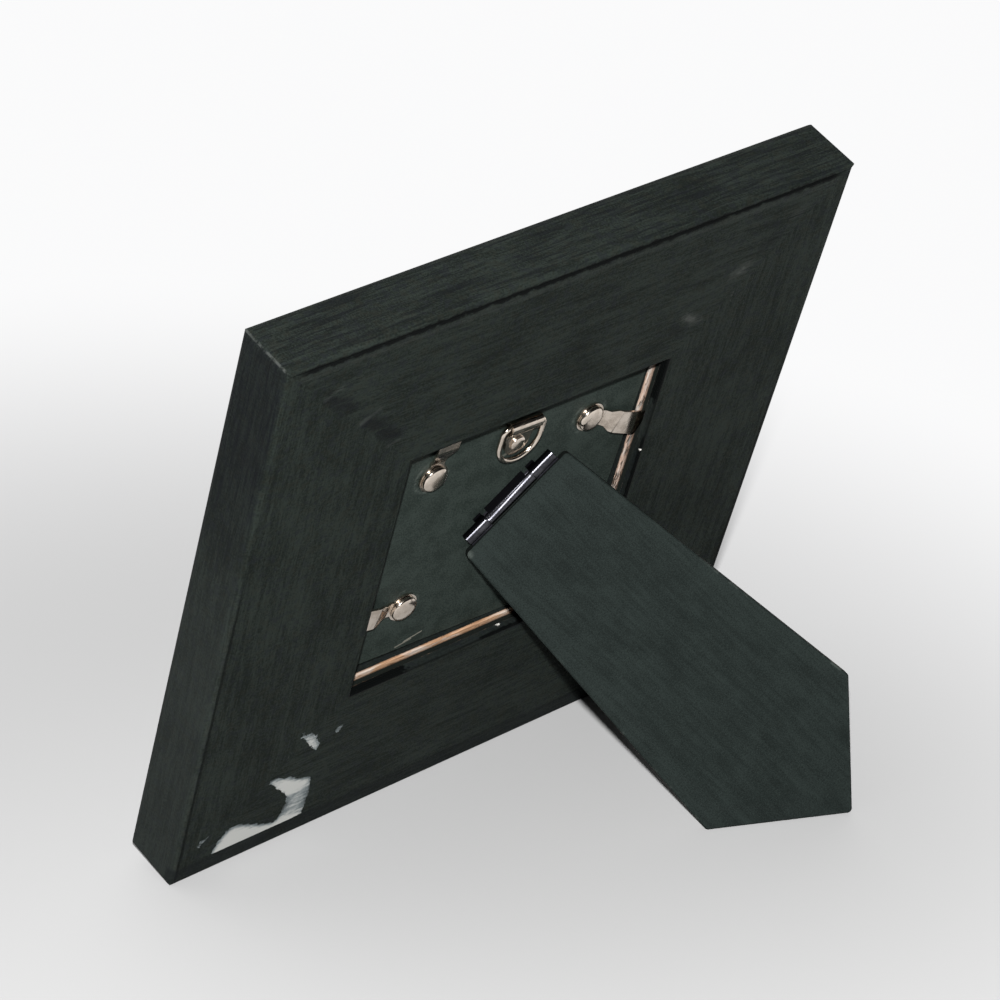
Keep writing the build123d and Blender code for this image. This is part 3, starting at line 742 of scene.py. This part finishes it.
def pressed_rivet(name, head, height, edge, shank, set_end, grip):
    """A rivet with its seat at the origin: pressed head above, shank and set end below."""
    begin()
    lift = (0, 0, grip + edge / 2)
    bpy.ops.mesh.primitive_cylinder_add(vertices=56, radius=head / 2, depth=edge, location=lift)
    rivet = bpy.context.object
    rivet.name = name
    bpy.ops.object.transform_apply(location=True, rotation=True, scale=True)
    bpy.ops.object.mode_set(mode="EDIT")
    pick_faces(rivet, lambda face: face.normal.z > 0.9)
    wide, level = 1.0, 0.0
    for step in range(1, CROWN_STEPS + 1):
        turn = math.pi / 2 * step / (CROWN_STEPS + 0.35)
        narrow = math.cos(turn) ** (2 / CROWN_FULLNESS)
        higher = (height - edge) * math.sin(turn) ** (2 / CROWN_FULLNESS)
        draw_out(higher - level, narrow / wide)
        wide, level = narrow, higher
    pick_faces(rivet, lambda face: face.normal.z < -0.9)
    bpy.ops.mesh.inset(thickness=head / 2 - shank / 2)
    draw_out(-(grip + BOARD_THICK - SET_END_SUNK), 1.0)
    draw_out(0.0, set_end / shank)
    draw_out(-SET_END_THICK, 1.0)
    bpy.ops.mesh.select_all(action="SELECT")
    bpy.ops.mesh.remove_doubles(threshold=1e-6)
    bpy.ops.mesh.normals_make_consistent(inside=False)
    bpy.ops.object.mode_set(mode="OBJECT")
    return rivet


for side, (share_x, share_y) in CLIP_PLACES.items():
    rivet = pressed_rivet("rivet_" + side, **CLIP_RIVET)
    seat = Matrix.Translation((share_x * HALF_BOARD * MM, share_y * HALF_BOARD * MM, 0))
    settle(rivet, board @ seat, "frame", nickel.material)
    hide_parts("clip_rivet_" + side)

HANGER_AT = (-0.036 * HALF_BOARD * MM, 0.651 * HALF_BOARD * MM, 0)
rivet = pressed_rivet("rivet_of_hanger", **HANGER_RIVET)
settle(rivet, board @ Matrix.Translation(HANGER_AT), "frame", nickel.material)
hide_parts("hanger_rivet")

# %% [markdown]
# ## Hanger ring
# The hanger is a D bent from round wire. In the CAD model the wire has ten flat sides. Here it is spun
# smooth: a circle is extruded along the straight runs and spun round each bend, and the last ring of
# points is merged with the first.

# %% The ring, bent run by run
WIRE = 0.7 * MM
RING_WIDE = 14.5 * MM
RING_HIGH = 13.4 * MM
RING_HALF = RING_WIDE / 2 - WIRE
RING_BEND = 2.2 * MM
RING_BAR = RING_HALF - RING_BEND
RING_LOW = RING_HALF - (RING_HIGH - 2 * WIRE)
RING_UP = (7.0 * MM, 1.5 * MM)


def spin_wire(centre, angle, steps):
    """Bend the wire on round a centre."""
    bpy.ops.mesh.spin(steps=steps, angle=angle, center=centre, axis=(0, 0, 1), dupli=False)


begin()
bpy.ops.mesh.primitive_circle_add(vertices=16, radius=WIRE, rotation=(0, math.pi / 2, 0))
wire_ring = bpy.context.object
wire_ring.name = "wire_ring"
bpy.ops.object.transform_apply(location=True, rotation=True, scale=True)
bpy.ops.object.mode_set(mode="EDIT")
bpy.ops.mesh.select_all(action="SELECT")
bpy.ops.mesh.extrude_edges_move(TRANSFORM_OT_translate={"value": (RING_BAR, 0, 0)})
spin_wire((RING_BAR, -RING_BEND, 0), math.pi / 2, 8)
bpy.ops.mesh.extrude_edges_move(TRANSFORM_OT_translate={"value": (0, RING_LOW + RING_BEND, 0)})
spin_wire((0, RING_LOW, 0), math.pi, 24)
bpy.ops.mesh.extrude_edges_move(TRANSFORM_OT_translate={"value": (0, -RING_LOW - RING_BEND, 0)})
spin_wire((-RING_BAR, -RING_BEND, 0), math.pi / 2, 8)
bpy.ops.mesh.extrude_edges_move(TRANSFORM_OT_translate={"value": (RING_BAR, 0, 0)})
bpy.ops.mesh.select_all(action="SELECT")
bpy.ops.mesh.remove_doubles(threshold=0.02 * MM)
bpy.ops.mesh.normals_make_consistent(inside=False)
bpy.ops.object.mode_set(mode="OBJECT")
ring_spot = Matrix.Translation(Vector(HANGER_AT) + Vector((0, *RING_UP)))
settle(wire_ring, board @ ring_spot, "ring", nickel.material)
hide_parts("hanger_ring")

# %% [markdown]
# ## Glass
# The front holds a pane of thin window glass over a plain card. The pane is modelled again with ground
# edges and a hair's gap to the card, because two faces in the same place would flicker. The glass is
# clear, and a little dust makes it hazy in places.

# %% Pane with ground edges
PANE_SIDE = 79.8 * MM
PANE_BACK = -9.3 * MM
PANE_THICK = 2.0 * MM
PANE_GAP = 0.04 * MM
GROUND_EDGE = 0.25 * MM
GLASS_TINT = (0.93, 0.97, 0.95, 1.0)

glass = Finish("clear_glass", bench)
dust = glass.cloud((0.10, 0.10, 0.10), 4.0, 0.6, 1.0)
glass.set(Base_Color=GLASS_TINT, Transmission_Weight=1.0, IOR=1.5)
glass.set(Roughness=dust.ease(0.45, 0.80) * 0.06)
glass.emboss(dust * 0.0003)

begin()
bpy.ops.mesh.primitive_cube_add(size=1)
pane = bpy.context.object
pane.name = "pane"
pane.scale = (PANE_SIDE, PANE_SIDE, PANE_THICK - PANE_GAP)
pane.location = (0, 0, PANE_BACK - PANE_GAP - (PANE_THICK - PANE_GAP) / 2)
bpy.ops.object.transform_apply(location=True, rotation=True, scale=True)
bpy.ops.object.mode_set(mode="EDIT")
bpy.ops.mesh.select_all(action="SELECT")
bpy.ops.mesh.bevel(offset=GROUND_EDGE, segments=2, affect="EDGES")
bpy.ops.object.mode_set(mode="OBJECT")
settle(pane, bench, "frame", glass.material)
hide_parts("glass_pane")

# %% [markdown]
# ## Card
# What the frame shows in front is not known, so a plain card lies behind the glass. Its pulp is fine
# noise and its ageing slow noise, and it yellows first near its edges, where the air reaches it.

# %% Plain card
CARD_DULL = (0.60, 0.57, 0.51)
CARD_CLEAN = (0.74, 0.71, 0.65)
CARD_YELLOWED = (0.52, 0.46, 0.37)

card = Finish("plain_card", bench)
pulp = card.cloud((0.9, 0.9, 0.9), 4.0, 0.65, 0.0)
aged = card.cloud((0.03, 0.03, 0.03), 3.0, 0.5, 5.0)
near_edge = abs(card.x).most(abs(card.y)).ease(20.0, 42.0)
card_colour = card.mix((pulp * 0.6 + aged * 0.4).ease(0.35, 0.65), CARD_DULL, CARD_CLEAN)
card_colour = card.mix(near_edge * 0.35, card_colour, CARD_YELLOWED)
card.set(Base_Color=card_colour, Roughness=0.82 + (pulp - 0.5) * 0.2, Specular_IOR_Level=0.25)
card.emboss(pulp * 0.03)
coat(card.material, "photo_insert")

# %% [markdown]
# ## What is left of a label
# A paper label was peeled off the bottom corner and left its corner strip and a few crumbs. Torn paper
# has a clean edge where it was cut and a ragged one where it tore. So each scrap is an outline on the
# bench, and noise makes every side waver except the cut one. The share of places round a point that are
# still paper tells how close the point is to a tear. The noise has a set seed, because without one it is
# drawn from the clock and the label would tear in a new way each time.

# %% Outlines of the scraps, on the bench in millimetres
LABEL_SCRAPS = {
    "label_corner": (
        (-61.9, -61.0), (-59.5, -61.4), (-56.9, -62.0), (-52.0, -64.9), (-47.3, -67.2),
        (-46.6, -72.8), (-47.0, -76.7), (-47.2, -81.1), (-55.0, -81.3), (-75.6, -81.4),
        (-74.5, -78.0), (-73.2, -76.0), (-71.7, -73.6), (-68.9, -73.5), (-62.0, -77.2),
        (-56.0, -79.6), (-54.6, -76.7), (-53.5, -73.7), (-54.1, -70.5), (-58.1, -65.4),
    ),
    "label_crumb_large": (
        (-54.9, -46.8), (-52.0, -49.0), (-50.3, -49.0), (-46.7, -54.5), (-47.7, -56.9),
        (-49.2, -55.2), (-52.6, -50.9),
    ),
    "label_crumb_right": ((-42.5, -52.4), (-40.8, -50.6), (-40.6, -52.6), (-41.6, -53.4)),
    "label_crumb_left": ((-80.5, -76.4), (-80.3, -73.7), (-78.0, -73.0), (-78.6, -75.0)),
}
GRID_STEP = 0.28
TEAR_WAVER = 0.75
TEAR_SEED = 1795860718
CUT_EDGE_AT = -81.3
PAPER = 0.05 * MM
LOOK_ROUND = (0.8, 1.6, 2.6)
LOOK_TURNS = (0, 0.8, 1.57, 2.35, 3.14)

noise.seed_set(TEAR_SEED)


def inside(outline, x, y):
    """Whether a point lies inside an outline, by counting the sides to its right."""
    hit = False
    for (x0, y0), (x1, y1) in zip(outline, outline[1:] + outline[:1]):
        if (y0 > y) != (y1 > y) and x < x0 + (y - y0) / (y1 - y0) * (x1 - x0):
            hit = not hit
    return hit


def torn(x, y):
    """Shift a point a little, so a straight outline comes out ragged, but not at the cut edge."""
    coarse = noise.noise_vector(Vector((x * 0.9, y * 0.9, 0.3)))
    shift = coarse + 0.6 * noise.noise_vector(Vector((x * 2.3, y * 2.3, 7.0)))
    waver = TEAR_WAVER * min(max((y - CUT_EDGE_AT) / 2.0, 0.0), 1.0)
    return x + waver * shift.x, y + waver * shift.y


def covered(outline, x, y):
    """How much paper lies round a point: 1 well inside a scrap, less near its torn edges."""
    near = [
        torn(x + off * math.cos(turn), y + off * math.sin(turn))
        for off in LOOK_ROUND for turn in LOOK_TURNS
    ]
    return sum(inside(outline, *spot) for spot in near) / len(near)


print("scraps of the label:", ", ".join(LABEL_SCRAPS))

# %% [markdown]
# ## Paper
# Paper splits where it tears, so it is thick inside a scrap and thin enough at a tear to let the dark
# wood through. Each point of the mesh keeps a number for that. Long noise for the grain below, fine
# noise for the fibres and one place where the strip was rubbed thin are added, and the sum turns into a
# colour in two steps.

# %% Torn paper
PAPER_GONE = (0.030, 0.036, 0.036)
PAPER_THIN = (0.170, 0.195, 0.200)
PAPER_WHOLE = (0.47, 0.475, 0.455)
RUBBED_PLACE = (-50.2, -74.8, 0.0)

paper = Finish("torn_paper", bench)
paper_fibre = paper.cloud((0.9, 0.9, 0.9), 4.0, 0.7, 3.0)
wood_through = paper.cloud((0.20, 1.1, 1.0), 3.0, 0.65, 11.0)
rubbed_thin = paper.from_spot(RUBBED_PLACE).ease(6.8, 3.0)
thick_paper = paper.stored("paper_cover") + (wood_through - 0.5) * 0.9
thick_paper = thick_paper + (paper_fibre - 0.5) * 0.5 - rubbed_thin * 0.46
paper_colour = paper.mix(thick_paper.ease(0.0, 0.45), PAPER_GONE, PAPER_THIN)
paper_colour = paper.mix(thick_paper.ease(0.35, 0.85), paper_colour, PAPER_WHOLE)
paper.set(Base_Color=paper_colour, Roughness=0.80 + (paper_fibre - 0.5) * 0.2, Specular_IOR_Level=0.2)
paper.emboss(paper_fibre * 0.05)
print("nodes in the finish of the paper:", len(paper.tree.nodes))

# %% [markdown]
# ## Tearing the scraps
# A fine grid is laid over each scrap, the faces outside the wavering outline are deleted, the edge left
# behind is smoothed, and Solidify gives the paper its thickness. The scraps are stuck to the back of the
# rails, so they ride on the frame.


# %% Tear the scraps
def tear_scrap(name, outline):
    """A scrap of paper on the back face: a grid cut to a ragged outline, thin at the tears."""
    xs, ys = zip(*outline)
    wide, high = max(xs) - min(xs) + 2, max(ys) - min(ys) + 2
    middle = ((max(xs) + min(xs)) / 2, (max(ys) + min(ys)) / 2)
    begin()
    cells_x, cells_y = int(wide / GRID_STEP), int(high / GRID_STEP)
    bpy.ops.mesh.primitive_grid_add(x_subdivisions=cells_x, y_subdivisions=cells_y, size=1)
    scrap = bpy.context.object
    scrap.name = name
    scrap.scale = (wide * MM, high * MM, 1)
    scrap.location = (middle[0] * MM, middle[1] * MM, PAPER)
    bpy.ops.object.transform_apply(location=True, rotation=True, scale=True)
    bpy.ops.object.mode_set(mode="EDIT")

    def outside(face):
        spot = face.calc_center_median() / MM
        return not inside(outline, *torn(spot.x, spot.y))

    pick_faces(scrap, outside)
    bpy.ops.mesh.delete(type="FACE")
    bpy.ops.mesh.select_all(action="SELECT")
    bpy.ops.mesh.vertices_smooth(factor=0.5, repeat=2)
    bpy.ops.transform.vertex_random(offset=0.02 * MM, seed=4)
    bpy.ops.object.mode_set(mode="OBJECT")
    cover = scrap.data.attributes.new("paper_cover", "FLOAT", "POINT")
    for vertex in scrap.data.vertices:
        cover.data[vertex.index].value = covered(outline, vertex.co.x / MM, vertex.co.y / MM)
    thick = scrap.modifiers.new("paper", "SOLIDIFY")
    thick.thickness = PAPER
    thick.offset = 1.0
    bpy.ops.object.modifier_apply(modifier=thick.name)
    settle(scrap, bench, "frame", paper.material)


for scrap_name, scrap_outline in LABEL_SCRAPS.items():
    tear_scrap(scrap_name, scrap_outline)

# %% [markdown]
# ## Floor
# The frame stands on a pale floor that lightens away from it, as the sweep of a photographer's table
# does. In the photograph the floor is bright, and yet the shadows on the frame stay deep. So the floor
# has one colour that is seen and a darker one for the light it throws back, and far away it turns to
# plain white.

# %% Floor
FLOOR_SEEN = (0.50, 0.50, 0.50)
FLOOR_BOUNCE = (0.16, 0.16, 0.16)
FAR_WHITE = (0.96, 0.96, 0.965, 1.0)

floor_finish = Finish("pale_floor", Matrix.Identity(4))
reach = (floor_finish.x * floor_finish.x + floor_finish.y * floor_finish.y).reckon("SQRT")
away = floor_finish.x * looking.x + floor_finish.y * looking.y
across = floor_finish.x * looking.y - floor_finish.y * looking.x
sweep = (reach + away * 0.35 + across * 0.45).ease(90.0, 390.0)
rays = floor_finish.tree.nodes.new("ShaderNodeLightPath")
seen = Reading(floor_finish.tree, rays.outputs["Is Camera Ray"])
for kind in ("Is Glossy Ray", "Is Transmission Ray"):
    seen = seen.most(rays.outputs[kind])
floor_colour = floor_finish.mix(seen, FLOOR_BOUNCE, FLOOR_SEEN)
floor_finish.set(Base_Color=floor_colour, Roughness=0.85, Specular_IOR_Level=0.1)
white = floor_finish.tree.nodes.new("ShaderNodeEmission")
white.inputs["Color"].default_value = FAR_WHITE
blend = floor_finish.tree.nodes.new("ShaderNodeMixShader")
plug(floor_finish.tree, seen * sweep, blend.inputs[0])
plug(floor_finish.tree, floor_finish.shader.outputs[0], blend.inputs[1])
plug(floor_finish.tree, white.outputs[0], blend.inputs[2])
plug(floor_finish.tree, blend.outputs[0], floor_finish.tree.nodes["Material Output"].inputs["Surface"])
begin()
bpy.ops.mesh.primitive_plane_add(size=12)
floor = bpy.context.object
floor.name = "floor"
floor.data.materials.append(floor_finish.material)
print("floor laid,", round(floor.dimensions.x, 1), "metres across")

# %% [markdown]
# ## Lamp
# The photograph was lit by a small light just over the lens, so the shadows fall close behind the leg
# and as a black line under the top edge of the opening. Here it is one small round lamp at that place.
# Its power is set so that a colour renders about as it is written.

# %% One lamp over the lens
LAMP_WIDE = 0.03
LAMP_POWER = 20.5
LAMP_AIM = Vector((0.0, 0.0, 0.08))
OVER_LENS = Vector((0, 0, 0.076))

lamp_data = bpy.data.lights.new("light_over_lens", "AREA")
lamp_data.shape = "DISK"
lamp_data.size = LAMP_WIDE
lamp_data.energy = LAMP_POWER
lamp = bpy.data.objects.new("light_over_lens", lamp_data)
bpy.context.scene.collection.objects.link(lamp)
lamp.location = camera.location + OVER_LENS
lamp.rotation_euler = (LAMP_AIM - lamp.location).to_track_quat("-Z", "Y").to_euler()
lamp.visible_camera = False
print("the lamp gives", LAMP_POWER, "watts from", [round(v, 2) for v in lamp.location])

# %% [markdown]
# ## Room
# A grey room fills what the lamp leaves dark. It is nearly black on the side that the back faces, as in
# the photograph, and lighter on the side that the front faces, so the frame also reads from there. One
# product of two directions tells the two sides apart.

# %% Grey room
ROOM_BEHIND = 0.02
ROOM_BEFORE = 0.85
ROOM_WHITE = (1.0, 1.0, 1.0, 1.0)

room = bpy.data.worlds.new("grey_room")
room.use_nodes = True
sky = room.node_tree
round_about = sky.nodes.new("ShaderNodeTexCoord")
turned_away = sky.nodes.new("ShaderNodeVectorMath")
turned_away.operation = "DOT_PRODUCT"
turned_away.inputs[1].default_value = -back_faces
sky.links.new(round_about.outputs["Generated"], turned_away.inputs[0])
room_level = Reading(sky, turned_away.outputs["Value"]).ease(0.0, 0.8) * ROOM_BEFORE + ROOM_BEHIND
plug(sky, room_level, sky.nodes["Background"].inputs["Strength"])
sky.nodes["Background"].inputs["Color"].default_value = ROOM_WHITE
bpy.context.scene.world = room
bpy.context.scene.view_settings.view_transform = "Standard"
print("the room adds", ROOM_BEHIND, "behind the frame and", ROOM_BEFORE + ROOM_BEHIND, "before it")
